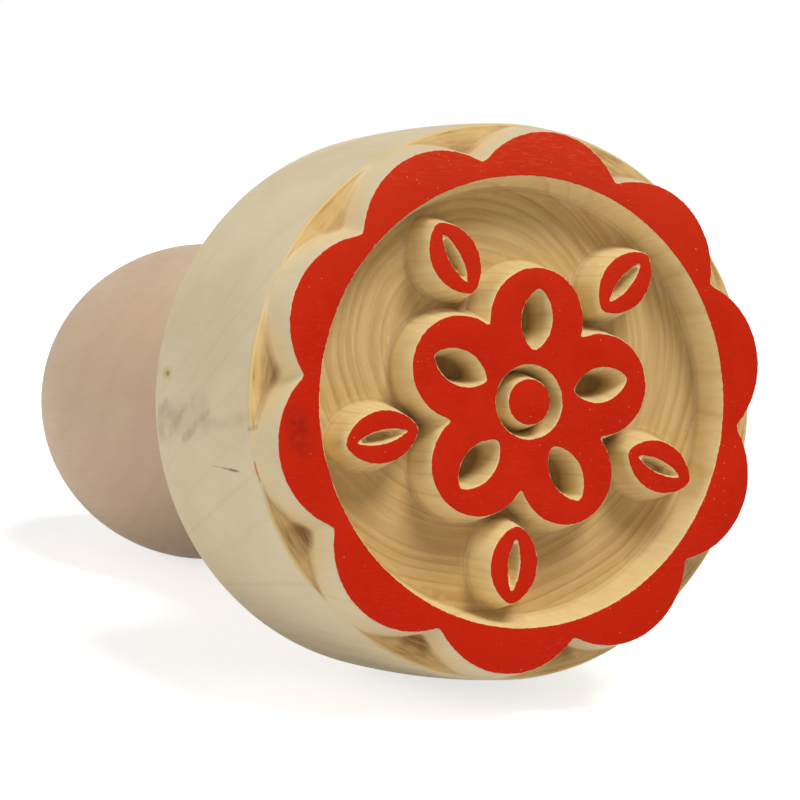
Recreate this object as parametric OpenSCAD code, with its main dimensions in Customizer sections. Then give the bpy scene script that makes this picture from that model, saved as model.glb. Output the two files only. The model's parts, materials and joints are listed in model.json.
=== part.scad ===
// Wooden mooncake stamp: a round carved head on a turned palm handle.
// It lies on its side, on the head's back edge and the handle's bulb, with the carved face towards -Y.
// Each piece is drawn about the stamp's axis, with the carved face at z = 0 looking up, and is then laid down.

/* [Carving] */
// Depth of the carving below the face
relief_h = 4.5; // [3:0.1:6]
// Slope of the carved walls, in degrees
wall_slope = 12; // [5:0.5:16]
// Radius of the round recess at the face
recess_r = 25; // [24:0.1:28]
// Number of lobes round the rim
lobe_count = 10; // [9:1:12]
// Radius of a lobe
lobe_r = 9.75; // [9:0.05:12]
// Width of the rim at the tip of a lobe
rim_tip_w = 5.2; // [4:0.1:8]
// Turn of the first lobe from the right-hand side of the face, in degrees
lobe_turn = 12; // [0:1:36]
// Least width of the ledge outside the lobes
ledge_w = 0.2; // [0.1:0.1:3]

/* [Ornament] */
// Number of petals, and of the leaves between them
petal_count = 5; // [5:1:6]
// Distance of the petals' centres from the axis
petal_ring_r = 9.2; // [8.8:0.1:9.4]
// Radius of a petal
petal_r = 5.8; // [5.7:0.1:6.4]
// Length of the hollow in a petal
petal_hollow_len = 7; // [5:0.1:7.4]
// Width of the hollow in a petal
petal_hollow_w = 3.8; // [2.5:0.1:4.4]
// Radius of the centre boss
boss_r = 2.6; // [2:0.1:3]
// Width of the moat round the boss
moat_w = 1.5; // [1:0.1:1.9]
// Width of a leaf
leaf_w = 5.8; // [4.5:0.1:6.4]
// Gap at the carving's floor between a leaf's inner tip and the petals
leaf_inner_gap = 1.1; // [1:0.1:2]
// Gap at the carving's floor between a leaf's outer tip and the recess wall
leaf_outer_gap = 0.4; // [0.3:0.1:2]
// Width of the vein cut in a leaf
vein_w = 1.4; // [0.8:0.1:1.8]
// Distance of the vein's ends from the leaf's tips
vein_margin = 1.4; // [1:0.1:2.5]

/* [Head] */
// Length of the head from the carved face to its back
head_len = 33; // [28:0.5:45]
// How far the head swells out from the ledge to its back
head_swell = 1.7; // [0.5:0.1:5]
// Rounding of the head's back edge
back_round = 1.2; // [0.5:0.1:3]

/* [Handle] */
// Length of the handle from the head's back to its end
handle_len = 112; // [95:0.5:140]
// Radius of the palm bulb
bulb_r = 24.4; // [18:0.1:28]
// Length from the bulb's widest point to the handle's end
bulb_end_len = 34.3; // [22:0.1:40]
// Radius of the waist
waist_r = 14; // [11:0.1:17]
// Distance of the waist from the head's back
waist_pos = 25; // [18:0.5:35]
// Radius of the shoulder that seats on the head
shoulder_r = 17.5; // [14:0.1:26]
// Radius of the tenon in the head
tenon_r = 9; // [6:0.1:10.5]
// Length of the tenon
tenon_len = 19; // [12:0.5:20]
// Chamfer round the tenon's end
tenon_chamfer = 1; // [0.5:0.1:2]
// Glue clearance round the tenon and past its end
glue_gap = 0.1; // [0.05:0.01:0.3]

/* [Paint] */
// Thickness of the paint film
film = 0.15; // [0.1:0.01:0.3]

/* [Hidden] */
$fn = 96;
lobe_steps = 12;
crown_steps = 10;
round_steps = 6;
neck_steps = 20;
bulb_steps = 24;
// How far a cut, and a raised form that is kept out of a cut, run past the face and the carving's floor
cut_over = 0.25;
keep_over = 0.5;
head_wood = [0.87, 0.79, 0.62];
handle_wood = [0.78, 0.67, 0.56];
red_paint = [0.77, 0.13, 0.06];

// How far a carved wall runs out from the face to the carving's floor
wall_run = relief_h * tan(wall_slope);
rim_tip_r = recess_r + rim_tip_w;
lobe_ring_r = rim_tip_r - lobe_r;

// A leaf lies between the notch of two petals and the recess wall, and its foot fills the way between the gaps
notch_turn = 180 / petal_count;
notch_r = petal_ring_r * cos(notch_turn)
    + sqrt(pow(petal_r + wall_run, 2) - pow(petal_ring_r * sin(notch_turn), 2));
leaf_foot_in = notch_r + leaf_inner_gap;
leaf_foot_out = recess_r - wall_run - leaf_outer_gap;
leaf_ring_r = (leaf_foot_in + leaf_foot_out) / 2;
// The leaf's length at the face, where its two arcs are smaller than at its foot
leaf_arc_r = oval_r(leaf_foot_out - leaf_foot_in, leaf_w + 2 * wall_run) - wall_run;
leaf_len = 2 * sqrt(pow(leaf_arc_r, 2) - pow(leaf_arc_r - leaf_w / 2, 2));
vein_len = leaf_len - 2 * vein_margin;

head_front_r = rim_tip_r + wall_run + ledge_w;
head_back_r = head_front_r + head_swell;
// The head's side is an arc that runs straight along the axis at the back
crown_len = head_len - relief_h;
crown_r = (crown_len * crown_len + head_swell * head_swell) / (2 * head_swell);

bore_r = tenon_r + glue_gap;
bore_depth = tenon_len + glue_gap;
// Distance of the bulb's widest point behind the head's back and behind the carved face
bulb_pos = handle_len - bulb_end_len;
bulb_back = head_len + bulb_pos;

// How far the head's back edge and the bulb reach below the face's centre when the axis is tilted by t
function head_drop(t) = (head_len - back_round) * sin(t) + (head_back_r - back_round) * cos(t) + back_round;
function bulb_drop(t) = bulb_back * sin(t) + norm([bulb_end_len * sin(t), bulb_r * cos(t)]);
// The tilt at which both touch the floor, found by halving
function rest_tilt(low, high, steps) =
    let (mid = (low + high) / 2)
    steps == 0 ? mid
    : bulb_drop(mid) < head_drop(mid) ? rest_tilt(mid, high, steps - 1)
    : rest_tilt(low, mid, steps - 1);
tilt = rest_tilt(0, 45, 40);

// The stamp is centred over the origin from its lowest lobe in front to the end of its bulb
lobe_low_y = min([for (i = [0 : lobe_count - 1]) lobe_ring_r * sin(lobe_turn + i * 360 / lobe_count)]) - lobe_r;
front_y = lobe_low_y * sin(tilt) - film * cos(tilt);
rear_y = bulb_back * cos(tilt) + norm([bulb_end_len * cos(tilt), bulb_r * sin(tilt)]);

module lay_down() {
    translate([0, -(front_y + rear_y) / 2, head_drop(tilt)])
        rotate([90 - tilt, 0, 0])
            children();
}

// Copies the children round the axis
module ring_of(count, turn) {
    for (i = [0 : count - 1])
        rotate(turn + i * 360 / count)
            children();
}

// The edge of a ring of round lobes, as points round the axis
function scalloped_edge(count, ring_r, r) = [
    for (i = [0 : count - 1], j = [0 : lobe_steps - 1])
    let (a = (j / lobe_steps - 0.5) * 360 / count)
    let (reach = ring_r * cos(a) + sqrt(r * r - pow(ring_r * sin(a), 2)))
    let (turn = lobe_turn + a + i * 360 / count)
    [reach * cos(turn), reach * sin(turn)]
];

// A scalloped block with sloping walls, from below the carving's floor to above the face
module scalloped_block(count, ring_r, r) {
    over = keep_over * tan(wall_slope);
    low = [for (p = scalloped_edge(count, ring_r, r + wall_run + over)) [p.x, p.y, -relief_h - keep_over]];
    high = [for (p = scalloped_edge(count, ring_r, r - over)) [p.x, p.y, keep_over]];
    n = len(low);
    bottom_face = [for (i = [0 : n - 1]) i];
    top_face = [for (i = [0 : n - 1]) 2 * n - 1 - i];
    rising = [for (i = [0 : n - 1]) [i, n + i, n + (i + 1) % n]];
    falling = [for (i = [0 : n - 1]) [i, n + (i + 1) % n, (i + 1) % n]];
    polyhedron(concat(low, high), concat([bottom_face, top_face], rising, falling));
}

// A raised round pad with a sloping wall, and a round hollow with one
module pad(r) {
    over = keep_over * tan(wall_slope);
    translate([0, 0, -relief_h - keep_over])
        cylinder(h = relief_h + 2 * keep_over, r1 = r + wall_run + over, r2 = r - over);
}

module hollow(r) {
    over = cut_over * tan(wall_slope);
    translate([0, 0, -relief_h - cut_over])
        cylinder(h = relief_h + 2 * cut_over, r1 = r - wall_run - over, r2 = r + over);
}

// A pointed oval is where two equal circles overlap: its ends are len apart along x
function oval_r(len, w) = (len * len + w * w) / (4 * w);
function oval_shift(len, w) = oval_r(len, w) - w / 2;

module oval_outline(len, w) {
    intersection_for (side = [-1, 1])
        translate([0, side * oval_shift(len, w)])
            circle(r = oval_r(len, w));
}

module oval_pad(len, w) {
    intersection_for (side = [-1, 1])
        translate([0, side * oval_shift(len, w), 0])
            pad(oval_r(len, w));
}

module oval_hollow(len, w) {
    intersection_for (side = [-1, 1])
        translate([0, side * oval_shift(len, w), 0])
            hollow(oval_r(len, w));
}

// Places of the petals and of the leaves between them
module at_petals() {
    ring_of(petal_count, lobe_turn)
        translate([petal_ring_r, 0, 0])
            children();
}

module at_leaves() {
    ring_of(petal_count, lobe_turn + notch_turn)
        translate([leaf_ring_r, 0, 0])
            children();
}

// Keeps what lies above the carving's floor
module to_floor() {
    intersection() {
        children();
        translate([0, 0, -relief_h])
            cylinder(h = relief_h + cut_over / 2, r = 2 * head_back_r);
    }
}

// What is carved away: outside the rim, in the recess round the ornament, and in the ornament itself
module rim_cut() {
    to_floor() difference() {
        cylinder(h = 4 * relief_h, r = head_back_r, center = true);
        scalloped_block(lobe_count, lobe_ring_r, lobe_r);
    }
}

module recess_cut() {
    to_floor() difference() {
        hollow(recess_r);
        scalloped_block(petal_count, petal_ring_r, petal_r);
        at_leaves() oval_pad(leaf_len, leaf_w);
    }
}

module ornament_cut() {
    to_floor() difference() {
        hollow(boss_r + moat_w);
        pad(boss_r);
    }
    to_floor() at_petals() oval_hollow(petal_hollow_len, petal_hollow_w);
    to_floor() at_leaves() oval_hollow(vein_len, vein_w);
}

// The head before it is carved: the swelling side and the rounded back edge
module head_blank() {
    crown = [for (i = [0 : crown_steps])
        let (back = head_len - (head_len - back_round) * i / crown_steps)
        [head_back_r - crown_r + sqrt(crown_r * crown_r - back * back), back - head_len]];
    back_edge = [for (i = [1 : round_steps])
        let (a = 90 * i / round_steps)
        [head_back_r - back_round * (1 - cos(a)), back_round * (1 - sin(a)) - head_len]];
    rotate_extrude()
        polygon(concat([[0, 0]], crown, back_edge, [[0, -head_len]]));
}

module stamp_head() {
    color(head_wood) lay_down() difference() {
        head_blank();
        rim_cut();
        recess_cut();
        ornament_cut();
        translate([0, 0, -head_len - cut_over])
            cylinder(h = bore_depth + cut_over, r = bore_r);
    }
}

// The handle's outline beside the axis: tenon, flare from the shoulder to the waist, neck and bulb
module turned_handle() {
    tenon = [
        [0, tenon_len - head_len],
        [tenon_r - tenon_chamfer, tenon_len - head_len],
        [tenon_r, tenon_len - head_len - tenon_chamfer],
        [tenon_r, -head_len]
    ];
    flare = [for (i = [0 : neck_steps])
        let (t = i / neck_steps)
        [waist_r + (shoulder_r - waist_r) * pow(1 - t, 2), -head_len - waist_pos * t]];
    neck = [for (i = [1 : neck_steps])
        let (t = i / neck_steps)
        [waist_r + (bulb_r - waist_r) * t * t * (3 - 2 * t), -head_len - waist_pos - (bulb_pos - waist_pos) * t]];
    bulb_end = [for (i = [1 : bulb_steps])
        let (a = 90 * i / bulb_steps)
        [bulb_r * cos(a), -bulb_back - bulb_end_len * sin(a)]];
    color(handle_wood) lay_down()
        rotate_extrude()
            polygon(concat(tenon, flare, neck, bulb_end));
}

// A film of paint on the face, of the outline given as a child
module paint_film() {
    color(red_paint) lay_down()
        linear_extrude(film)
            children();
}

module rim_paint() {
    paint_film() difference() {
        polygon(scalloped_edge(lobe_count, lobe_ring_r, lobe_r));
        circle(r = recess_r);
    }
}

module blossom_paint() {
    paint_film() difference() {
        polygon(scalloped_edge(petal_count, petal_ring_r, petal_r));
        circle(r = boss_r + moat_w);
        at_petals() oval_outline(petal_hollow_len, petal_hollow_w);
    }
}

module boss_paint() {
    paint_film() circle(r = boss_r);
}

module leaf_paint() {
    paint_film() at_leaves() difference() {
        oval_outline(leaf_len, leaf_w);
        oval_outline(vein_len, vein_w);
    }
}

stamp_head();
turned_handle();
rim_paint();
blossom_paint();
boss_paint();
leaf_paint();
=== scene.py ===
"""The looks of a wooden mooncake stamp: a carved and painted head, a turned handle, and a plain studio.

Lengths are in millimetres in the stamp's own axes: x to the right of the face, y up it and z out of it,
with the wood's face at z = 0. Each mesh is laid down into the shared frame, in metres, where the CAD
model lies.
"""

import json
import math
from functools import partial
from types import SimpleNamespace

import bpy
import numpy as np
from mathutils import Matrix, Vector, noise
from mathutils.geometry import delaunay_2d_cdt


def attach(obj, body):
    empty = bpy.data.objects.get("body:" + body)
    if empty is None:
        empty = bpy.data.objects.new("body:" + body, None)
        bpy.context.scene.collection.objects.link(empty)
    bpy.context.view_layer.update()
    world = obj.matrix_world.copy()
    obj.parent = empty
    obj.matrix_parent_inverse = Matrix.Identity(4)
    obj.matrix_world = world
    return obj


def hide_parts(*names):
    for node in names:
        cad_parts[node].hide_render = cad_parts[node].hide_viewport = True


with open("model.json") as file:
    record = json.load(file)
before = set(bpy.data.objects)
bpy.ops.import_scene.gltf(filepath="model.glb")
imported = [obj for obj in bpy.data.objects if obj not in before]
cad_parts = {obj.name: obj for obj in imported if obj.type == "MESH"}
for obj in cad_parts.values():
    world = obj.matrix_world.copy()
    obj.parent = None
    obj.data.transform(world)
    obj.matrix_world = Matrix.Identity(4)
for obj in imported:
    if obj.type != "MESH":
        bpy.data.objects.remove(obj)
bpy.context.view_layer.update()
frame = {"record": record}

MM = 0.001

# Carving
RELIEF = 4.5
WALL_SLOPE = math.radians(12)
RECESS_R = 25.0
LOBES = 10
LOBE_R = 9.75
RIM_TIP_W = 5.2
TURN = math.radians(12)
LEDGE_W = 0.2
NOTCH_SOFT = 0.25
TIP_SOFT = 0.2
EDGE_EASE = 0.1
FOOT_ROUND = 0.28

# Ornament
PETALS = 5
PETAL_RING_R = 9.2
PETAL_R = 5.8
HOLLOW_LEN = 7.0
HOLLOW_W = 3.8
BOSS_R = 2.6
MOAT_W = 1.5
LEAF_W = 5.8
LEAF_INNER_GAP = 1.1
LEAF_OUTER_GAP = 0.4
VEIN_W = 1.4
VEIN_MARGIN = 1.4

# Head and handle
HEAD_LEN = 33.0
HEAD_SWELL = 1.7
BACK_ROUND = 1.2
FRONT_EASE = 0.3
HANDLE_LEN = 112.0
BULB_R = 24.4
BULB_END_LEN = 34.3
WAIST_R = 14.0
WAIST_POS = 25.0
SHOULDER_R = 17.5
FILM = 0.15

# How far the tools left each surface from true, and the length of the waves that they left
WALL_WAVE = 0.05
WALL_WAVE_LEN = 2.2
FLOOR_WAVE = 0.1
FLOOR_WAVE_LEN = 4.0
RIPPLE_SHARE = 0.4
RIPPLE_LEN = 1.3
SIDE_WAVE = 0.08
SIDE_WAVE_LEN = 14.0
HANDLE_WAVE = 0.12
HANDLE_WAVE_LEN = 20.0

# Derived sizes
WALL_RUN = RELIEF * math.tan(WALL_SLOPE)
LOBE_RING_R = RECESS_R + RIM_TIP_W - LOBE_R
FRONT_R = RECESS_R + RIM_TIP_W + WALL_RUN + LEDGE_W
LEDGE_R = FRONT_R - FRONT_EASE
BACK_R = FRONT_R + HEAD_SWELL
HALF_MOAT = MOAT_W / 2
CROWN_R = ((HEAD_LEN - RELIEF) ** 2 + HEAD_SWELL ** 2) / (2 * HEAD_SWELL)
BULB_POS = HANDLE_LEN - BULB_END_LEN

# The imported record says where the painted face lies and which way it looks
face_mount = frame["record"]["mounts"][0]
face_out = Vector(face_mount["axis"]).normalized()
face_right = Vector((1, 0, 0))
face_up = face_out.cross(face_right)
face_middle = Vector(face_mount["pos_m"]) - FILM * MM * face_out
LAY_DOWN = Matrix.Translation(face_middle) @ Matrix((face_right, face_up, face_out)).transposed().to_4x4()


# Distances outside the outlines of the carving, for points on the face

def turned(points, angle):
    c, s = math.cos(angle), math.sin(angle)
    return points @ np.array([[c, s], [-s, c]])


def eased_least(gaps, ease):
    """The least of several distances, smoothed where two of them are nearly equal."""
    return -ease * np.log(np.sum(np.exp(-np.array(gaps) / ease), axis=0))


def from_lobes(p, count, ring_r, r):
    """Distance outside a ring of round lobes."""
    angles = TURN + np.arange(count) * 2 * math.pi / count
    gaps = [np.hypot(p[:, 0] - ring_r * math.cos(a), p[:, 1] - ring_r * math.sin(a)) - r for a in angles]
    return eased_least(gaps, NOTCH_SOFT)


def oval_arc(length, width):
    """Radius of the two circles whose overlap is a pointed oval, and how far each is from its middle."""
    r = (length ** 2 + width ** 2) / (4 * width)
    return r, r - width / 2


def from_oval(p, length, width):
    """Distance outside a pointed oval that lies along x."""
    r, shift = oval_arc(length, width)
    return -eased_least([r - np.hypot(p[:, 0], p[:, 1] + s) for s in (shift, -shift)], TIP_SOFT)


def from_ovals(p, length, width, ring_r, angles):
    """Distance outside ovals that point outwards from the axis."""
    gaps = [from_oval(turned(p, -a) - np.array([ring_r, 0]), length, width) for a in angles]
    return np.min(gaps, axis=0)


def leaf_size():
    """Length of a leaf at the face, and the distance of its middle from the axis."""
    half = math.pi / PETALS
    foot_r = PETAL_R + WALL_RUN
    aside = PETAL_RING_R * math.sin(half)
    notch_r = PETAL_RING_R * math.cos(half) + math.sqrt(foot_r ** 2 - aside ** 2)
    foot_in = notch_r + LEAF_INNER_GAP
    foot_out = RECESS_R - WALL_RUN - LEAF_OUTER_GAP
    r, shift = oval_arc(foot_out - foot_in, LEAF_W + 2 * WALL_RUN)
    return 2 * math.sqrt((r - WALL_RUN) ** 2 - shift ** 2), (foot_in + foot_out) / 2


LEAF_LEN, LEAF_RING_R = leaf_size()
VEIN_LEN = LEAF_LEN - 2 * VEIN_MARGIN
PETAL_ANGLES = TURN + np.arange(PETALS) * 2 * math.pi / PETALS
LEAF_ANGLES = PETAL_ANGLES + math.pi / PETALS


def from_rim(p):
    return np.maximum(from_lobes(p, LOBES, LOBE_RING_R, LOBE_R), RECESS_R - np.hypot(*p.T))


def from_blossom(p):
    reach = np.hypot(*p.T)
    middle = reach - PETAL_RING_R * math.cos(math.pi / PETALS)
    petals = np.minimum(from_lobes(p, PETALS, PETAL_RING_R, PETAL_R), middle)
    hollows = from_ovals(p, HOLLOW_LEN, HOLLOW_W, PETAL_RING_R, PETAL_ANGLES)
    return np.maximum.reduce([petals, -hollows, BOSS_R + MOAT_W - reach])


def from_boss(p):
    return np.hypot(*p.T) - BOSS_R


def from_leaves(p):
    leaves = from_ovals(p, LEAF_LEN, LEAF_W, LEAF_RING_R, LEAF_ANGLES)
    veins = from_ovals(p, VEIN_LEN, VEIN_W, LEAF_RING_R, LEAF_ANGLES)
    return np.maximum(leaves, -veins)


def from_tops(p):
    """How far each point of the face lies from the nearest raised top: negative on the tops."""
    return np.minimum.reduce([from_rim(p), from_blossom(p), from_boss(p), from_leaves(p)])


# Edges of the carving, as closed loops of points that can be moved off the top that they bound

HALVINGS = 30


def along_rays(rays, distance, out, low, high):
    """The point of each ray at a given distance off an outline, found by halving.

    It lies between a low and a high share of the ray.
    """
    low = np.full(len(rays), float(low))
    high = np.full(len(rays), float(high))
    for _ in range(HALVINGS):
        middle = (low + high) / 2
        outside = distance(rays * middle[:, None]) > out
        low = np.where(outside, low, middle)
        high = np.where(outside, middle, high)
    return rays * low[:, None]


def scallop(count, ring_r, r, steps, out):
    """A ring of lobes."""
    a = TURN + np.arange(steps) * 2 * math.pi / steps
    rays = np.column_stack([np.cos(a), np.sin(a)])
    return along_rays(rays, lambda p: from_lobes(p, count, ring_r, r), out, ring_r, ring_r + 2 * r)


def circle(r, steps, out=0.0):
    a = np.arange(steps) * 2 * math.pi / steps
    reach = r + out + 0 * a
    return np.column_stack([reach * np.cos(a), reach * np.sin(a)])


def oval(length, width, ring_r, angle, steps, out):
    """A pointed oval with its tips on a ray from the axis."""
    a = np.arange(steps) * 2 * math.pi / steps
    rays = np.column_stack([length / 2 * np.cos(a), width / 2 * np.sin(a)])
    points = along_rays(rays, lambda p: from_oval(p, length, width), out, 0, 2)
    return turned(points + np.array([ring_r, 0]), angle)


class Edge:
    """One closed edge of the carving, with a rough length that only sets how many points it gets.

    The wall below an inward edge closes in, and meets itself at the distance deepest.
    """

    def __init__(self, draw, length, deepest=math.inf, inward=False):
        self.draw = draw
        self.length = length
        self.deepest = deepest
        self.sign = -1 if inward else 1

    def steps(self, spacing):
        return 2 * round(self.length / spacing / 2)

    def loop(self, d, spacing):
        """The edge moved a distance off its top."""
        return self.draw(self.steps(spacing), self.sign * d)

    def uneven_loop(self, d_of, inset, spacing):
        """The edge moved by a distance that is worked out at each of its points, less an inset."""
        steps = self.steps(spacing)
        return self.draw(steps, self.sign * (d_of(self.draw(steps, 0.0)) - inset))


def round_edge(r, **kind):
    return Edge(partial(circle, r), 2 * math.pi * r, **kind)


def lobed_edge(count, ring_r, r):
    return Edge(partial(scallop, count, ring_r, r), 2.3 * math.pi * (ring_r + r / 2))


def oval_edges(length, width, ring_r, angles, **kind):
    return [Edge(partial(oval, length, width, ring_r, a), 2.8 * length, **kind) for a in angles]


def oval_hollows(length, width, ring_r, angles):
    """Edges of ovals that are cut into a top, whose walls meet below the middle."""
    middle = width / 2 - TIP_SOFT * math.log(2)
    return oval_edges(length, width, ring_r, angles, inward=True, deepest=middle)


EDGES = {
    "rim": [lobed_edge(LOBES, LOBE_RING_R, LOBE_R), round_edge(RECESS_R, inward=True)],
    "blossom": [
        lobed_edge(PETALS, PETAL_RING_R, PETAL_R),
        round_edge(BOSS_R + MOAT_W, inward=True, deepest=HALF_MOAT),
        *oval_hollows(HOLLOW_LEN, HOLLOW_W, PETAL_RING_R, PETAL_ANGLES),
    ],
    "boss": [round_edge(BOSS_R, deepest=HALF_MOAT)],
    "leaves": [
        *oval_edges(LEAF_LEN, LEAF_W, LEAF_RING_R, LEAF_ANGLES),
        *oval_hollows(VEIN_LEN, VEIN_W, LEAF_RING_R, LEAF_ANGLES),
    ],
}


# Meshes

# How finely each surface is cut
SIDE_STEPS = 480
HANDLE_STEPS = 192
EDGE_SPACING = 0.42
FLOOR_SPACING = 0.9
PAINT_SPACING = 0.15
EASE_STEPS = 5
WALL_STEPS = 5
FOOT_STEPS = 8
SIDE_RINGS = 30
BACK_EDGE_RINGS = 8
BACK_RINGS = 9
FLARE_RINGS = 30
NECK_RINGS = 60
BULB_RINGS = 60
# How far the face's scattered points stray from a grid, as a share of its spacing
SCATTER = 0.3
SCATTER_SEED = 7
# For the triangles: only those inside the loops, and the distance at which two points are one
INSIDE_ONLY = 1
SAME_POINT = 1e-5
# Faces that meet at more than this look sharp
SHARP_ANGLE = math.radians(38)


def wavy(points, size, seed):
    """Smooth noise from -1 to 1 at each point, with waves of about the given size."""
    shift = Vector((seed * 17.3, seed * 5.1, seed * 9.7))
    return np.array([noise.noise(Vector(p).to_3d() / size + shift) for p in points])


def wall_section():
    """Distances off a top and heights of the carved wall, which has a rounded edge and foot."""
    lean = math.tan(math.pi / 4 - WALL_SLOPE / 2)
    ease = np.linspace(math.pi / 2, WALL_SLOPE, EASE_STEPS)
    top_d = EDGE_EASE * (np.cos(ease) - lean)
    top_z = EDGE_EASE * (np.sin(ease) - 1)
    foot = np.linspace(math.pi + WALL_SLOPE, 1.5 * math.pi, FOOT_STEPS)
    foot_d = WALL_RUN + FOOT_ROUND * (lean + np.cos(foot))
    foot_z = -RELIEF + FOOT_ROUND * (1 + np.sin(foot))
    wall_d = np.linspace(top_d[-1], foot_d[0], WALL_STEPS)[1:-1]
    wall_z = np.linspace(top_z[-1], foot_z[0], WALL_STEPS)[1:-1]
    return np.concatenate([top_d, wall_d, foot_d]), np.concatenate([top_z, wall_z, foot_z])


SECTION_D, SECTION_Z = wall_section()


def face_height(p):
    """Height of the carved face, with the slight unevenness of hand tools."""
    off = from_tops(p)
    carved = np.clip(off / WALL_RUN, 0, 1)
    z = np.interp(off + WALL_WAVE * carved * wavy(p, WALL_WAVE_LEN, 1), SECTION_D, SECTION_Z)
    uneven = wavy(p, FLOOR_WAVE_LEN, 2) + RIPPLE_SHARE * wavy(p, RIPPLE_LEN, 3)
    return z + FLOOR_WAVE * carved * uneven


def triangles(loops, extra=()):
    """Triangles inside closed loops, whose sides all become edges, with extra points among them.

    Gives the points, the triangles, each point's place in the loops, and the loops round each triangle.
    """
    points = [Vector(p) for p in np.concatenate([*loops, *extra])]
    ends = np.cumsum([0] + [len(loop) for loop in loops])
    outlines = [list(range(a, b)) for a, b in zip(ends, ends[1:])]
    result = delaunay_2d_cdt(points, [], outlines, INSIDE_ONLY, SAME_POINT)
    return np.array([v[:] for v in result[0]]), [list(f) for f in result[2]], result[3], result[5]


def free_edges(faces):
    """The edges that only one face has, in that face's own direction."""
    edges = {(a, b) for f in faces for a, b in zip(f, f[1:] + f[:1])}
    return sorted(e for e in edges if e[::-1] not in edges)


def scattered(r, spacing):
    """Points on a jittered grid over a disc."""
    rng = np.random.default_rng(SCATTER_SEED)
    axis = np.arange(-r, r, spacing)
    grid = np.stack(np.meshgrid(axis, axis), -1).reshape(-1, 2)
    grid = grid + rng.uniform(-SCATTER, SCATTER, grid.shape) * spacing
    return grid[np.hypot(*grid.T) < r]


def store(mesh, name, values):
    """Keeps a number or a vector at each point of a mesh, for its material."""
    vectors = values.ndim == 2
    layer = mesh.attributes.new(name, "FLOAT_VECTOR" if vectors else "FLOAT", "POINT")
    layer.data.foreach_set("vector" if vectors else "value", values.astype(np.float32).ravel())


def make_piece(name, shape, material, node):
    """A mesh from points in the stamp's own axes, laid down, that stands for a CAD node."""
    points, faces = shape
    mesh = bpy.data.meshes.new(name)
    mesh.from_pydata([LAY_DOWN @ (Vector(p) * MM) for p in points], [], faces)
    store(mesh, "own_mm", points)
    mesh.materials.append(material)
    mesh.shade_smooth()
    mesh.set_sharp_from_angle(angle=SHARP_ANGLE)
    piece = bpy.data.objects.new(name, mesh)
    bpy.context.scene.collection.objects.link(piece)
    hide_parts(node)
    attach(piece, "root")
    return piece


def ring_faces(rings):
    """Quads between rings of points, each given as a list of its points' numbers."""
    faces = []
    for upper, lower in zip(rings, rings[1:]):
        n = len(upper)
        faces += [[upper[j], lower[j], lower[(j + 1) % n], upper[(j + 1) % n]] for j in range(n)]
    return faces


def ring_points(r, z, around):
    """Points at the angles around, where r and z are numbers or lists of them."""
    return np.column_stack([r * np.cos(around), r * np.sin(around), z + 0 * around])


def worn(points, depth, size, seed):
    """The points of a turned side, drawn in by up to depth in waves."""
    keep = 1 - depth * (0.5 + 0.5 * wavy(points, size, seed)) / np.hypot(points[:, 0], points[:, 1])
    return points * np.column_stack([keep, keep, np.ones(len(points))])


# How far the face's loops keep off the lines where walls meet, and its scattered points off the loops
SEAM_GAP = 0.03
TOP_GAP = 0.4
FLOOR_GAP = 0.2
# How far below the ledge the turned side starts, and the outer and the inner ring of the flat back
SIDE_START = 0.8
BACK_FLAT_R = BACK_R - 4
BACK_HUB_R = 2
# How much of the way down to the side a lobe's wall takes over the front edge, and where that fades out
RUN_ON_SHARE = 0.8
RUN_ON_FADE = 1.5 * LEDGE_W


def face_mesh():
    """Points and triangles of the carved face, and the numbers of the points on its front edge."""
    edges = [edge for form in EDGES.values() for edge in form]
    loops = [circle(LEDGE_R, SIDE_STEPS)]
    loops += [e.loop(d, EDGE_SPACING) for d in SECTION_D for e in edges if d < e.deepest - SEAM_GAP]
    loops.append(round_edge(BOSS_R + HALF_MOAT).loop(0, EDGE_SPACING))
    spread = scattered(LEDGE_R - TOP_GAP, FLOOR_SPACING)
    off = from_tops(spread)
    spread = spread[(off < SECTION_D[0] - TOP_GAP) | (off > SECTION_D[-1] + FLOOR_GAP)]
    flat, faces, _, around = triangles(loops, [spread])
    faces = [f for f, which in zip(faces, around) if 0 in which]
    used = np.unique(np.concatenate(faces))
    number = {old: new for new, old in enumerate(used)}
    faces = [[number[i] for i in f] for f in faces]
    flat = flat[used]
    rim = {i for edge in free_edges(faces) for i in edge}
    rim = sorted(rim, key=lambda i: math.atan2(*flat[i, ::-1]))
    return np.column_stack([flat, face_height(flat)]), faces, rim


def side_section():
    """Radius and height down the head's side and across its back, from below the front edge."""
    z = np.linspace(-RELIEF - SIDE_START, BACK_ROUND - HEAD_LEN, SIDE_RINGS)
    side = np.column_stack([BACK_R - CROWN_R + np.sqrt(CROWN_R ** 2 - (HEAD_LEN + z) ** 2), z])
    a = np.linspace(0, math.pi / 2, BACK_EDGE_RINGS)[1:]
    edge_r = BACK_R - BACK_ROUND * (1 - np.cos(a))
    edge = np.column_stack([edge_r, BACK_ROUND * (1 - np.sin(a)) - HEAD_LEN])
    back_r = np.linspace(BACK_FLAT_R, BACK_HUB_R, BACK_RINGS)
    back = np.column_stack([back_r, np.full(BACK_RINGS, -HEAD_LEN)])
    return np.concatenate([side, edge, back])


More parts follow.
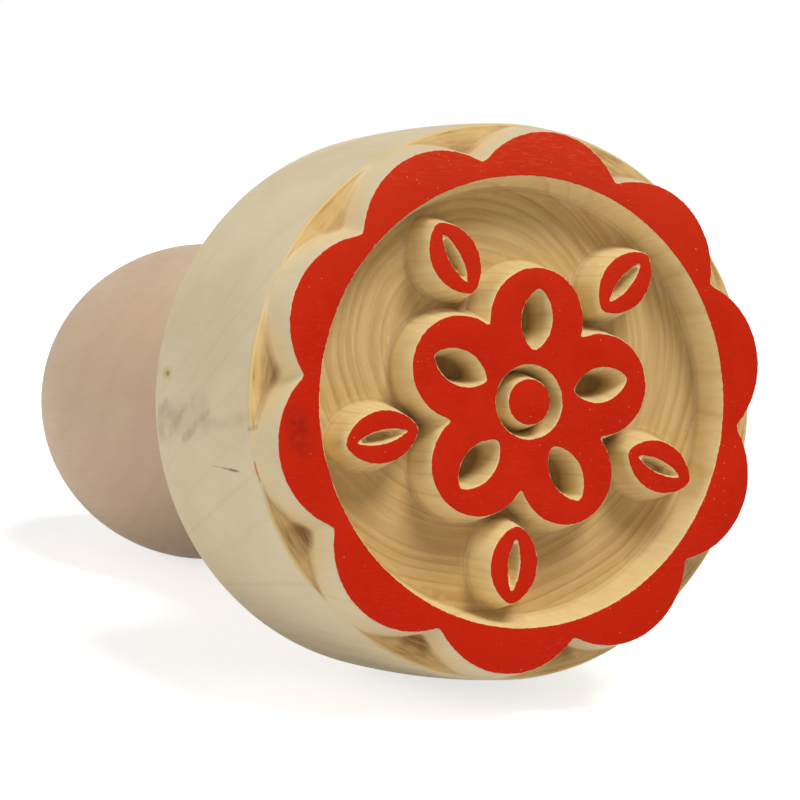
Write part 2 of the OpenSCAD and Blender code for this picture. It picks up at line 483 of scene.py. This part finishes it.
def head_mesh():
    """The carved face, joined over its front edge to the turned side and the back.

    The edge is rounded, but where the wall of a lobe comes down to it, that wall runs on into the side.
    """
    points, faces, rim = face_mesh()
    around = np.arctan2(points[rim, 1], points[rim, 0])
    rim_z = points[rim, 2]
    side = side_section()
    run_on = np.clip((WALL_RUN + LEDGE_W - from_tops(points[rim, :2])) / RUN_ON_FADE, 0, 1)
    fall = RUN_ON_SHARE * (rim_z - side[0, 1])
    rows = []
    for a in np.linspace(math.pi / 2, 0, EASE_STEPS)[1:]:
        out = math.cos(a)
        drop = FRONT_EASE * (1 - math.sin(a)) * (1 - run_on) + fall * out * run_on
        rows.append(ring_points(LEDGE_R + FRONT_EASE * out, rim_z - drop, around))
    rows += [worn(ring_points(r, z, around), SIDE_WAVE, SIDE_WAVE_LEN, 6) for r, z in side]
    numbers = len(points) + np.arange(len(rows) * len(rim)).reshape(len(rows), len(rim))
    rings = [rim] + numbers.tolist()
    faces += ring_faces(rings)
    faces.append(rings[-1][::-1])
    return np.concatenate([points] + rows), faces


def handle_section():
    """Radius and height along the handle, from its shoulder to near its end."""
    t = np.linspace(0, 1, FLARE_RINGS)
    flare = np.column_stack([WAIST_R + (SHOULDER_R - WAIST_R) * (1 - t) ** 2, -HEAD_LEN - WAIST_POS * t])
    t = np.linspace(0, 1, NECK_RINGS)[1:]
    neck_r = WAIST_R + (BULB_R - WAIST_R) * t * t * (3 - 2 * t)
    neck = np.column_stack([neck_r, -HEAD_LEN - WAIST_POS - (BULB_POS - WAIST_POS) * t])
    a = np.linspace(0, math.pi / 2, BULB_RINGS)[1:-1]
    bulb = np.column_stack([BULB_R * np.cos(a), -HEAD_LEN - BULB_POS - BULB_END_LEN * np.sin(a)])
    return np.concatenate([flare, neck, bulb])


def handle_mesh():
    """The turned handle, a little out of round."""
    around = np.arange(HANDLE_STEPS) * 2 * math.pi / HANDLE_STEPS
    section = handle_section()
    rows = [worn(ring_points(r, z, around), HANDLE_WAVE, HANDLE_WAVE_LEN, 7) for r, z in section]
    rings = np.arange(len(rows) * HANDLE_STEPS).reshape(len(rows), HANDLE_STEPS).tolist()
    tip = len(rows) * HANDLE_STEPS
    last = rings[-1]
    faces = ring_faces(rings) + [rings[0]]
    faces += [[last[(j + 1) % HANDLE_STEPS], last[j], tip] for j in range(HANDLE_STEPS)]
    return np.concatenate(rows + [[[0, 0, -HEAD_LEN - HANDLE_LEN]]]), faces


# Paint

PAINT_INSET = 0.07
PAINT_RAG = 0.07
# Lengths of the fine and the coarse waves of a film's ragged edge, and the share of the coarse ones
RAG_LEN = 0.4
COARSE_RAG_LEN = 1.7
COARSE_RAG_SHARE = 0.4
# How far each ring of a film's rounded rim is drawn in, and its height
FILM_RIM = ((0.0, -0.03), (0.0, 0.5 * FILM), (0.05, 0.9 * FILM), (0.12, FILM))


def brush_line(p):
    """How far off the edge the brush stopped, at each point of it."""
    rag = wavy(p, RAG_LEN, 4) + COARSE_RAG_SHARE * wavy(p, COARSE_RAG_LEN, 5)
    return -PAINT_INSET - PAINT_RAG * rag


def film_mesh(edges):
    """A thin closed film of paint inside a form's edges, with a rounded rim."""
    rings = [[e.uneven_loop(brush_line, inset, PAINT_SPACING) for e in edges] for inset, _ in FILM_RIM]
    _, faces, origin, around = triangles(rings[-1])
    top = [[origin[i][0] for i in f] for f, which in zip(faces, around) if len(which) % 2]
    count = sum(len(loop) for loop in rings[0])
    lift = (len(rings) - 1) * count
    solid = [[i + lift for i in f] for f in top] + [f[::-1] for f in top]
    for low in range(0, lift, count):
        high = low + count
        solid += [[low + a, low + b, high + b, high + a] for a, b in free_edges(top)]
    layers = []
    for ring, (_, z) in zip(rings, FILM_RIM):
        layers.append(np.column_stack([np.concatenate(ring), np.full(count, z)]))
    return np.concatenate(layers), solid


# Materials

BUMP_STRENGTH = 0.5
HEAD_BUMP = 0.00006
HANDLE_BUMP = 0.00005
PAINT_BUMP = 0.00004


class Nodes:
    """Short calls for the nodes of one material."""

    def __init__(self, name):
        self.material = bpy.data.materials.new(name)
        self.material.use_nodes = True
        self.tree = self.material.node_tree
        self.shader = self.tree.nodes["Principled BSDF"]

    def put(self, value, socket):
        if isinstance(value, bpy.types.NodeSocket):
            self.tree.links.new(value, socket)
        else:
            socket.default_value = value

    def set(self, socket, value):
        self.put(value, self.shader.inputs[socket])

    def add(self, kind, inputs=(), **settings):
        node = self.tree.nodes.new(kind)
        for key, value in settings.items():
            setattr(node, key, value)
        for i, value in enumerate(inputs):
            self.put(value, node.inputs[i])
        return node

    def math(self, operation, a, b=0.0, clamp=False):
        return self.add("ShaderNodeMath", (a, b), operation=operation, use_clamp=clamp).outputs[0]

    def times(self, *values):
        """All the values multiplied together."""
        product = values[0]
        for value in values[1:]:
            product = self.math("MULTIPLY", product, value)
        return product

    def vector(self, operation, a, b):
        return self.add("ShaderNodeVectorMath", (a, b), operation=operation).outputs[0]

    def scaled(self, a, by):
        return self.vector("MULTIPLY", a, by)

    def length(self, a):
        return self.add("ShaderNodeVectorMath", (a,), operation="LENGTH").outputs["Value"]

    def dot(self, a, b):
        return self.add("ShaderNodeVectorMath", (a, b), operation="DOT_PRODUCT").outputs["Value"]

    def join(self, x, y, z):
        return self.add("ShaderNodeCombineXYZ", (x, y, z)).outputs[0]

    def split(self, a):
        return self.add("ShaderNodeSeparateXYZ", (a,)).outputs[:]

    def own(self):
        """Place on the stamp, in millimetres in its own axes."""
        return self.add("ShaderNodeAttribute", attribute_name="own_mm").outputs["Vector"]

    def stored(self, name):
        return self.add("ShaderNodeAttribute", attribute_name=name).outputs["Fac"]

    def noise(self, vector, detail=3.0, rough=0.55, output="Fac"):
        """Smooth noise from 0 to 1 with waves one unit long."""
        node = self.add("ShaderNodeTexNoise", (vector,))
        node.inputs["Scale"].default_value = 1.0
        node.inputs["Detail"].default_value = detail
        node.inputs["Roughness"].default_value = rough
        return node.outputs[output]

    def drift(self, vector, detail=2.0):
        """Three smooth noises at once, each from about -0.5 to 0.5."""
        return self.vector("SUBTRACT", self.noise(vector, detail, output="Color"), (0.5, 0.5, 0.5))

    def specks(self, vector, size, share):
        """Round specks of a given size, in one cell of the unit grid in every 1 / share."""
        node = self.add("ShaderNodeTexVoronoi", (vector,), voronoi_dimensions="2D")
        node.inputs["Scale"].default_value = 1.0
        chosen = self.math("LESS_THAN", self.split(node.outputs["Color"])[0], share)
        return self.times(chosen, self.span(node.outputs["Distance"], size / 2, size, 1, 0))

    def line_gap(self, place, start, end):
        """Distance from a line between two points."""
        along = Vector(end) - Vector(start)
        from_start = self.vector("SUBTRACT", place, (*start, 0))
        share = self.math("DIVIDE", self.dot(from_start, (*along, 0)), along.length_squared, clamp=True)
        return self.length(self.vector("SUBTRACT", from_start, self.scaled(share, (*along, 0))))

    def span(self, value, low, high, to_low=0.0, to_high=1.0):
        """A smooth step from one level to another between two values."""
        inputs = (value, low, high, to_low, to_high)
        return self.add("ShaderNodeMapRange", inputs, interpolation_type="SMOOTHSTEP").outputs[0]

    def mix(self, amount, a, b):
        node = self.add("ShaderNodeMix", data_type="RGBA")
        self.put(amount, node.inputs[0])
        for colour, socket in ((a, node.inputs[6]), (b, node.inputs[7])):
            self.put(colour if isinstance(colour, bpy.types.NodeSocket) else (*colour, 1), socket)
        return node.outputs[2]

    def bump(self, height, depth):
        """Fine relief of a given depth, in metres."""
        node = self.add("ShaderNodeBump")
        node.inputs["Strength"].default_value = BUMP_STRENGTH
        node.inputs["Distance"].default_value = depth
        self.put(height, node.inputs["Height"])
        self.set("Normal", node.outputs[0])


def rgb(*levels):
    """A colour as a screen shows it, from 0 to 255, in the linear values that shaders take."""
    parts = [level / 255 for level in levels]
    return tuple(c / 12.92 if c <= 0.04045 else ((c + 0.055) / 1.055) ** 2.4 for c in parts)


SIDE_CREAM = rgb(226, 209, 173)
SIDE_SHADE = rgb(219, 200, 162)
SIDE_LINE = rgb(168, 146, 112)
WALL_GOLD = rgb(237, 213, 157)
WALL_SHADE = rgb(222, 191, 130)
END_GOLD = rgb(209, 175, 114)
END_PALE = rgb(219, 189, 130)
END_LATE = rgb(180, 133, 76)
LEDGE_OCHRE = rgb(232, 198, 134)
EDGE_GLOW = rgb(224, 190, 120)
# Dark brown of deeply torn grain, also used for the painted shade at the feet of walls, in notches and in
# hollows.
TEAR_AND_PAINTED_SHADE = rgb(132, 86, 40)
STAIN = rgb(114, 94, 62)
SLIT = rgb(98, 74, 42)
SMEAR_RED = rgb(206, 80, 56)
KNOT_HALO = rgb(204, 174, 92)
KNOT_HEART = rgb(96, 70, 24)

RING_PITCH = 1.3
# Middle of the growth rings on the face, and how far it moves for each millimetre along z
PITH = (-3.5, 6.0, 0.0)
PITH_LEAN = (0.24, -0.05)
# Between the recess and the notches of the rim, and how soon the wood changes there
RIM_MIDDLE_R = RECESS_R + 1.2
RIM_FADE = 0.3
# Heights between which the front of the head gives way to the rest
FRONT_FROM = -RELIEF - 6.0
FRONT_TO = -RELIEF - 4.0
# As far out as the hollows of the petals reach
HOLLOWS_OUT_R = PETAL_RING_R + HOLLOW_LEN / 2

# Marks on the head's left side. Each has its two ends, in degrees down from the left and millimetres from
# the face, its half width, its strength and its colour. Smudges are worn away in places.
SMUDGES = (
    ((4.6, -16.5), (3.3, -4.6), 0.80, 0.14, STAIN),
    ((5.1, -4.9), (5.0, -4.4), 0.30, 0.55, STAIN),
    ((7.4, -23.0), (1.8, -15.0), 0.50, 0.36, STAIN),
    ((6.2, -27.0), (1.0, -21.6), 0.60, 0.20, STAIN),
    ((5.4, -30.4), (2.0, -26.0), 0.90, 0.15, STAIN),
    ((2.4, -30.4), (0.6, -28.2), 0.80, 0.30, STAIN),
    ((4.6, -30.0), (2.4, -17.0), 2.30, 0.22, STAIN),
)
CUTS = (
    ((12.7, -15.6), (13.8, -8.8), 0.08, 0.30, SLIT),
    ((13.1, -12.8), (13.8, -9.0), 0.12, 0.40, SLIT),
    ((13.4, -11.2), (13.7, -9.6), 0.17, 0.60, SLIT),
    ((11.8, -4.75), (15.9, -4.65), 0.10, 0.60, SMEAR_RED),
    ((12.3, -4.80), (14.2, -4.75), 0.18, 0.60, SMEAR_RED),
    ((-5.8, -29.0), (-5.8, -27.4), 0.75, 0.60, KNOT_HALO),
    ((-5.8, -28.4), (-5.8, -27.8), 0.32, 0.55, KNOT_HEART),
)
# Where a mark starts to fade and where it is gone, in half widths
MARK_CORE = 0.3
MARK_END = 1.5


def down_the_side(degrees, z):
    """A point of the head's side laid flat: its distance round from the left, and its height."""
    return math.radians(degrees) * BACK_R, z


def add_marks(n, colour, place, marks, share):
    """The marks of a table, over a colour."""
    for start, end, half_width, strength, stain in marks:
        gap = n.line_gap(place, down_the_side(*start), down_the_side(*end))
        mark = n.span(gap, MARK_CORE * half_width, MARK_END * half_width, strength, 0)
        colour = n.mix(n.times(mark, share), colour, stain)
    return colour


def add_side_marks(n, at, colour):
    """Handling smudges, a slit, a smear of paint and a knot on the head's left side, over a colour."""
    place = n.join(n.times(at.from_left, BACK_R), at.z, 0.0)
    shake = n.scaled(n.drift(n.scaled(at.own, (0.4, 0.4, 0.4)), 1.0), (0.9, 0.9, 0))
    shaken = n.vector("ADD", place, shake)
    worn_off = n.span(n.noise(n.scaled(at.own, (0.6, 0.6, 0.4)), 2.0), 0.35, 0.65, 0.5, 1)
    colour = add_marks(n, colour, shaken, SMUDGES, n.times(worn_off, at.outside))
    return add_marks(n, colour, place, CUTS, at.outside)


def head_places(n):
    """Where a point of the head lies, in the ways that its colours depend on."""
    own = n.own()
    x, y, z = n.split(own)
    reach = n.length(n.scaled(own, (1, 1, 0)))
    return SimpleNamespace(
        own=own,
        y=y,
        z=z,
        reach=reach,
        from_left=n.math("ARCTAN2", n.times(y, -1.0), n.times(x, -1.0)),
        front=n.span(z, FRONT_FROM, FRONT_TO),
        outside=n.span(reach, RIM_MIDDLE_R - RIM_FADE, RIM_MIDDLE_R + RIM_FADE),
        cross_cut=n.stored("cross_cut"),
        off=n.stored("off_mm"),
    )


def head_grain(n, at):
    """Growth rings round the pith, streaks along them, fibres along the head, and broader tones."""
    lean = n.join(n.times(at.z, PITH_LEAN[0]), n.times(at.z, PITH_LEAN[1]), 0.0)
    from_pith = n.vector("SUBTRACT", n.vector("SUBTRACT", at.own, PITH), lean)
    drift = n.scaled(n.drift(n.scaled(at.own, (0.045, 0.045, 0.02))), (2.5, 2.5, 0))
    out = n.scaled(n.vector("ADD", from_pith, drift), (1, 1, 0))
    rho = n.length(out)
    uneven = n.noise(n.join(n.times(rho, 0.4), 3.0, 0.0), 1.0)
    rings = n.math("ADD", n.math("DIVIDE", rho, RING_PITCH), n.times(uneven, 2.4))
    phase = n.math("FRACT", rings)
    strong = n.span(n.noise(n.join(n.times(rho, 0.55), 8.0, 0.0), 1.0), 0.35, 0.62, 0.3, 1)
    blurred = n.span(n.noise(n.scaled(at.own, (0.12, 0.12, 0.05)), 2.0), 0.34, 0.62, 0.5, 1)
    way = n.scaled(n.vector("NORMALIZE", out, (0, 0, 0)), (2.4, 2.4, 0))
    tear = n.join(n.times(at.reach, 2.4), n.times(at.from_left, 7.0), n.times(at.z, 0.3))
    return SimpleNamespace(
        late=n.times(n.span(phase, 0.1, 0.7), n.span(phase, 0.74, 1.0, 1, 0), strong, blurred),
        line=n.times(n.span(phase, 0.68, 0.84), n.span(phase, 0.86, 0.98, 1, 0), strong),
        streak=n.noise(n.vector("ADD", way, n.join(0.0, 0.0, n.times(rho, 2.0))), 3.0),
        fibre=n.noise(n.scaled(at.own, (1.3, 1.3, 0.1)), 3.0),
        pores=n.noise(n.scaled(at.own, (6.5, 6.5, 0.5)), 2.0),
        cloud=n.noise(n.scaled(at.own, (0.08, 0.08, 0.06)), 3.0),
        torn=n.noise(tear, 3.0),
    )


def wood_along(n, at, grain):
    """The wood where it is cut along the grain: golden walls, and a creamy side."""
    skin = n.mix(n.span(grain.cloud, 0.32, 0.68), SIDE_CREAM, SIDE_SHADE)
    skin = n.mix(n.times(grain.line, 0.11), skin, SIDE_LINE)
    skin = n.mix(n.span(grain.pores, 0.5, 0.75, 0, 0.08), skin, SIDE_LINE)
    wall = n.mix(n.span(grain.fibre, 0.36, 0.68, 0, 0.4), WALL_GOLD, WALL_SHADE)
    wall = n.mix(n.times(grain.late, 0.3), wall, WALL_SHADE)
    wall = n.mix(n.times(grain.line, 0.25), wall, END_LATE)
    return n.mix(at.outside, wall, skin)


def wood_across(n, at, grain):
    """The wood where it is cut across the grain: ringed, and torn in the pockets outside the rim."""
    colour = n.mix(n.span(grain.streak, 0.35, 0.65), END_GOLD, END_PALE)
    colour = n.mix(n.times(at.outside, at.front, 0.8), colour, LEDGE_OCHRE)
    colour = n.mix(n.times(grain.late, n.span(at.front, 0, 1, 0.3, 0.55)), colour, END_LATE)
    colour = n.mix(n.times(grain.line, n.span(at.y, -20.0, 0.0, 0.55, 0.25)), colour, END_LATE)
    colour = n.mix(n.span(at.y, -22.0, -6.0, 0.25, 0), colour, END_LATE)
    # Paler on the back: its end grain is unoiled, and the lift is partly painted light against the shade
    # that falls there.
    colour = n.mix(n.span(at.front, 0, 1, 0.45, 0), colour, SIDE_SHADE)
    colour = n.mix(n.span(grain.pores, 0.5, 0.75, 0, 0.2), colour, END_LATE)
    torn = n.times(n.span(grain.torn, 0.46, 0.64, 0, 0.62), at.outside, at.front)
    colour = n.mix(torn, colour, END_LATE)
    deeply_torn = n.times(n.span(grain.torn, 0.55, 0.7, 0, 0.5), at.outside, at.front)
    return n.mix(deeply_torn, colour, TEAR_AND_PAINTED_SHADE)


def shade_carving(n, at, grain, colour):
    """The tones that the carving adds to a colour.

    Outer walls are warmer. Feet of walls, notches and hollows get painted shade. The front edge is
    burnished.
    """
    turn = n.math("COSINE", n.times(n.math("SUBTRACT", at.from_left, TURN), LOBES))
    pocket = n.times(n.span(turn, -0.6, 0.6, 1, 0), at.outside)

    near_wall = n.span(at.off, WALL_RUN + 1.0, WALL_RUN + 2.0, 1, 0)
    on_wall = n.times(n.span(at.off, 0.1, WALL_RUN, 0.2, 0.6), near_wall)
    colour = n.mix(n.times(on_wall, n.span(pocket, 0, 1, 0.35, 1), at.outside), colour, LEDGE_OCHRE)

    # Painted shade along the feet of the walls, inside the recess and in the pockets.
    near_foot = n.span(at.off, WALL_RUN + 0.05, WALL_RUN + 0.6, 1, 0)
    foot = n.times(n.span(at.off, WALL_RUN - 0.25, WALL_RUN), near_foot)
    inside = n.math("SUBTRACT", 1.0, at.outside)
    foot_shade_level = n.times(n.span(grain.cloud, 0.3, 0.7, 0.15, 0.4), n.math("MAXIMUM", inside, pocket))
    colour = n.mix(n.times(foot, foot_shade_level), colour, TEAR_AND_PAINTED_SHADE)

    # Painted shade in the corners of the notches outside the rim, deeper towards the bottom.
    notch_shade = n.times(
        n.span(turn, -1.0, -0.7, 1, 0),
        n.span(at.off, 0.65, WALL_RUN),
        n.span(at.off, 1.3, 2.8, 1, 0),
        n.span(at.y, -18.0, 6.0, 0.85, 0.4),
    )
    colour = n.mix(n.times(notch_shade, n.span(grain.torn, 0.3, 0.6, 0.4, 1), at.outside), colour, TEAR_AND_PAINTED_SHADE)

    # Painted shade in the carving round the petals: their hollows, the moat and the walls between them.
    by_petals = n.span(at.reach, HOLLOWS_OUT_R, HOLLOWS_OUT_R + 1.5, 1, 0)
    hollow_shade = n.times(n.span(at.off, 0.35, 1.2), by_petals)
    colour = n.mix(n.times(hollow_shade, 0.55), colour, TEAR_AND_PAINTED_SHADE)

    from_edge = n.math("ABSOLUTE", n.math("ADD", at.z, RELIEF + 0.1))
    edge = n.times(n.span(from_edge, 0.1, 0.45, 1, 0), n.span(at.reach, LEDGE_R - 0.25, LEDGE_R + 0.15))
    between = n.span(at.y, -14.0, 8.0, 0.03, 0.45)
    return n.mix(n.times(edge, n.span(pocket, 0, 1, between, 0.75)), colour, EDGE_GLOW)


def head_wood():
    """Pale wood cut across the grain: growth rings on the face, golden there and creamy down the side."""
    n = Nodes("head_wood")
    at = head_places(n)
    grain = head_grain(n, at)
    colour = n.mix(at.cross_cut, wood_along(n, at, grain), wood_across(n, at, grain))
    colour = shade_carving(n, at, grain, colour)
    n.set("Base Color", add_side_marks(n, at, colour))
    n.set("Roughness", n.span(grain.fibre, 0.3, 0.7, 0.56, 0.72))
    n.set("Specular IOR Level", 0.25)
    rings_and_pores = n.times(n.math("ADD", grain.pores, n.times(grain.late, 0.6)), at.cross_cut)
    n.bump(n.math("ADD", n.times(grain.fibre, 0.4), rings_and_pores), HEAD_BUMP)
    return n.material


HANDLE_TAN = rgb(208, 181, 149)
HANDLE_SHADE = rgb(202, 173, 142)
HANDLE_LINE = rgb(168, 136, 108)
HANDLE_RING_PITCH = 2.6
HANDLE_PITH = (9.0, -7.0, 0.0)


def handle_wood():
    """Pinkish close-grained wood, with faint figure along the handle."""
    n = Nodes("handle_wood")
    own = n.own()
    moved = n.vector("ADD", own, n.scaled(n.drift(n.scaled(own, (0.04, 0.04, 0.012))), (7, 7, 0)))
    rho = n.length(n.scaled(n.vector("SUBTRACT", moved, HANDLE_PITH), (1, 1, 0)))
    phase = n.math("FRACT", n.math("DIVIDE", rho, HANDLE_RING_PITCH))
    line = n.times(n.span(phase, 0.5, 0.86), n.span(phase, 0.88, 1.0, 1, 0))
    fibre = n.noise(n.scaled(own, (1.8, 1.8, 0.06)), 4.0, 0.6)
    cloud = n.noise(n.scaled(own, (0.09, 0.09, 0.035)), 3.0)
    pores = n.noise(n.scaled(own, (7, 7, 0.4)), 2.0)
    colour = n.mix(n.span(cloud, 0.32, 0.68), HANDLE_TAN, HANDLE_SHADE)
    colour = n.mix(n.times(line, 0.06), colour, HANDLE_LINE)
    colour = n.mix(n.span(fibre, 0.45, 0.75, 0, 0.07), colour, HANDLE_LINE)
    colour = n.mix(n.span(pores, 0.58, 0.76, 0, 0.1), colour, HANDLE_LINE)
    n.set("Base Color", colour)
    n.set("Roughness", n.span(fibre, 0.3, 0.7, 0.5, 0.62))
    n.set("Specular IOR Level", 0.3)
    n.bump(n.math("ADD", fibre, n.times(pores, 0.5)), HANDLE_BUMP)
    return n.material


PAINT_RED = rgb(206, 38, 7)
PAINT_DEEP_AND_SHADE = rgb(198, 33, 6)
PAINT_STREAK_AND_SHEEN = rgb(218, 60, 28)
PAINT_PALE = rgb(232, 150, 116)
PAINT_STAIN = rgb(128, 24, 12)
# Ends of the darker patch on the left of the rim, and how far from their line it is gone
STAIN_FROM = (-27.7, -1.6)
STAIN_TO = (-27.2, -4.4)
STAIN_REACH = 1.98


def red_paint():
    """Brushed vermilion, with faint streaks, pale specks in clusters and one darker patch, painted shade
    low down and painted sheen high up.
    """
    n = Nodes("red_paint")
    own = n.own()
    cloud = n.noise(n.scaled(own, (0.14, 0.14, 0.1)), 4.0)
    brush = n.noise(n.scaled(own, (0.7, 4.0, 1)), 4.0, 0.6)
    upper = n.split(own)[1]
    patchy = n.span(n.noise(n.scaled(own, (0.07, 0.07, 0.1)), 2.0), 0.42, 0.62, 0.1, 0.4)
    brushed = n.math("ADD", patchy, n.span(upper, 20.0, 29.0, 0, 0.5))
    grain = n.noise(n.scaled(own, (3.0, 3.0, 1)), 3.0)
    colour = n.mix(n.span(cloud, 0.32, 0.68), PAINT_RED, PAINT_DEEP_AND_SHADE)
    # Painted shade: the red darkens towards the bottom of the face.
    colour = n.mix(n.span(upper, -30.0, -5.0, 0.8, 0), colour, PAINT_DEEP_AND_SHADE)
    colour = n.mix(n.times(n.span(brush, 0.5, 0.72), brushed), colour, PAINT_STREAK_AND_SHEEN)
    thin = n.times(n.span(brush, 0.48, 0.7), n.span(upper, 22.0, 29.0, 0, 0.22))
    colour = n.mix(thin, colour, PAINT_PALE)
    colour = n.mix(n.span(grain, 0.5, 0.8, 0, 0.3), colour, PAINT_STREAK_AND_SHEEN)
    # Painted sheen: the red lightens towards the top of the face.
    colour = n.mix(n.span(upper, 6.0, 31.0, 0, 0.55), colour, PAINT_STREAK_AND_SHEEN)
    patch = n.span(n.line_gap(own, STAIN_FROM, STAIN_TO), 0, STAIN_REACH, 0.8, 0)
    blotch = n.span(n.noise(n.scaled(own, (0.6, 0.6, 1)), 3.0), 0.34, 0.62, 0.25, 1)
    colour = n.mix(n.times(patch, blotch), colour, PAINT_STAIN)
    cluster = n.span(n.noise(n.scaled(own, (0.11, 0.11, 0.1)), 2.0), 0.48, 0.62, 0.05, 0.7)
    specks = n.specks(n.scaled(own, (0.8, 0.8, 0)), 0.07, 0.25)
    colour = n.mix(n.times(specks, cluster), colour, PAINT_PALE)
    n.set("Base Color", colour)
    n.set("Roughness", n.span(brush, 0.3, 0.7, 0.5, 0.64))
    n.set("Specular IOR Level", 0.08)
    n.bump(n.math("ADD", brush, grain), PAINT_BUMP)
    return n.material


# Distance off the tops that the side and the back are given
FAR_OFF = 9.0
# Distance over which a wall turns into floor that is cut across the grain
CROSS_CUT_FADE = 0.35
# How near the face's edge or the back a point has to be to belong to it
FACE_BAND = 0.01
BACK_BAND = 0.05


def head_cuts(points):
    """Distance off the tops of each point of the head, and how far it is cut across the grain."""
    reach = np.hypot(points[:, 0], points[:, 1])
    on_face = (points[:, 2] > -RELIEF - FRONT_EASE) & (reach < LEDGE_R + FACE_BAND)
    on_back = points[:, 2] < BACK_BAND - HEAD_LEN
    off = from_tops(points[:, :2])
    across = np.where(on_face, np.clip((off - WALL_RUN) / CROSS_CUT_FADE, 0, 1), on_back)
    return np.where(on_face, off, FAR_OFF), across


def build_stamp():
    """The dressed pieces, each in place of its CAD node."""
    head_shape = head_mesh()
    head = make_piece("carved_head", head_shape, head_wood(), "stamp_head")
    off, across = head_cuts(head_shape[0])
    store(head.data, "off_mm", off)
    store(head.data, "cross_cut", across)
    make_piece("palm_handle", handle_mesh(), handle_wood(), "turned_handle")
    paint = red_paint()
    for name, form, node in (
        ("rim_coat", "rim", "rim_paint"),
        ("blossom_coat", "blossom", "blossom_paint"),
        ("boss_coat", "boss", "boss_paint"),
        ("leaf_coats", "leaves", "leaf_paint"),
    ):
        make_piece(name, film_mesh(EDGES[form]), paint, node)


# Studio, in metres in the shared frame

FLOOR_HALF = 4.0
FLOOR_GREY = 0.8
FLOOR_GLOW = 0.7
WORLD_LIGHT = 0.14
KEY_PLACE = (0.16, -0.55, 0.83)
KEY_ANGLE = math.radians(24)
KEY_ENERGY = 2.25
FILL_PLACE = (-0.96, -0.24, 0.27)
FILL_SIZE = 0.7
FILL_ENERGY = 3.7


def seen_directly(tree):
    """1 for rays from the camera and for what gloss and glass show, 0 for the rays that light things."""
    path = tree.nodes.new("ShaderNodeLightPath").outputs
    seen = path["Is Camera Ray"]
    for kind in ("Is Glossy Ray", "Is Transmission Ray"):
        larger = tree.nodes.new("ShaderNodeMath")
        larger.operation = "MAXIMUM"
        tree.links.new(seen, larger.inputs[0])
        tree.links.new(path[kind], larger.inputs[1])
        seen = larger.outputs[0]
    return seen


def studio_floor():
    """A wide pale floor: white to the camera where light falls, and darker under the stamp."""
    mesh = bpy.data.meshes.new("floor")
    corners = [(x * FLOOR_HALF, y * FLOOR_HALF, 0) for x, y in ((-1, -1), (1, -1), (1, 1), (-1, 1))]
    mesh.from_pydata(corners, [], [(0, 1, 2, 3)])
    floor = bpy.data.objects.new("floor", mesh)
    bpy.context.scene.collection.objects.link(floor)
    n = Nodes("floor")
    n.set("Base Color", (FLOOR_GREY, FLOOR_GREY, FLOOR_GREY, 1))
    n.set("Roughness", 0.9)
    n.set("Specular IOR Level", 0.0)
    n.set("Emission Color", (1, 1, 1, 1))
    n.set("Emission Strength", n.times(seen_directly(n.tree), FLOOR_GLOW))
    mesh.materials.append(n.material)


def studio_world():
    """White where it is seen, and an even soft light from all round."""
    world = bpy.data.worlds.new("studio")
    bpy.context.scene.world = world
    world.use_nodes = True
    tree = world.node_tree
    back = tree.nodes["Background"]
    back.inputs["Color"].default_value = (1, 1, 1, 1)
    level = tree.nodes.new("ShaderNodeMapRange")
    level.inputs["To Min"].default_value = WORLD_LIGHT
    level.inputs["To Max"].default_value = 1.0
    tree.links.new(seen_directly(tree), level.inputs["Value"])
    tree.links.new(level.outputs[0], back.inputs["Strength"])


def add_lamp(lamp, place):
    """A lamp at a place, turned to the middle of the face."""
    obj = bpy.data.objects.new(lamp.name, lamp)
    obj.location = place
    obj.rotation_mode = "QUATERNION"
    obj.rotation_quaternion = (face_middle - Vector(place)).to_track_quat("-Z", "Y")
    bpy.context.scene.collection.objects.link(obj)


def studio_lamps():
    """A wide distant key from above, in front and a little to the right, and a near fill on the left."""
    key = bpy.data.lights.new("key", "SUN")
    key.angle = KEY_ANGLE
    key.energy = KEY_ENERGY
    add_lamp(key, KEY_PLACE)
    fill = bpy.data.lights.new("fill", "AREA")
    fill.shape = "DISK"
    fill.size = FILL_SIZE
    fill.energy = FILL_ENERGY
    add_lamp(fill, FILL_PLACE)


# The camera as the photograph was taken, with its place in the stamp's own axes
FOCAL_PX = 2273.7
PHOTO_PX = 800
SENSOR_W = 36
NEAR_CLIP = 0.01
CAMERA_TURN = math.radians(23.8)
CAMERA_AWAY = 251.92
CAMERA_RIGHT = -14.32
CAMERA_UP = 0.21


def photo_camera():
    """The camera, at the photograph's viewing angle."""
    back = Vector((-math.sin(CAMERA_TURN), 0, math.cos(CAMERA_TURN)))
    right = Vector((math.cos(CAMERA_TURN), 0, math.sin(CAMERA_TURN)))
    up = Vector((0, 1, 0))
    eye = back * CAMERA_AWAY + right * CAMERA_RIGHT + up * CAMERA_UP
    data = bpy.data.cameras.new("camera")
    data.sensor_width = SENSOR_W
    data.lens = FOCAL_PX / PHOTO_PX * SENSOR_W
    data.clip_start = NEAR_CLIP
    camera = bpy.data.objects.new("camera", data)
    bpy.context.scene.collection.objects.link(camera)
    aim = Matrix((right, up, back)).transposed().to_4x4()
    camera.matrix_world = LAY_DOWN @ Matrix.Translation(eye * MM) @ aim
    bpy.context.scene.camera = camera


build_stamp()
studio_floor()
studio_world()
studio_lamps()
photo_camera()
bpy.context.scene.view_settings.view_transform = "Standard"
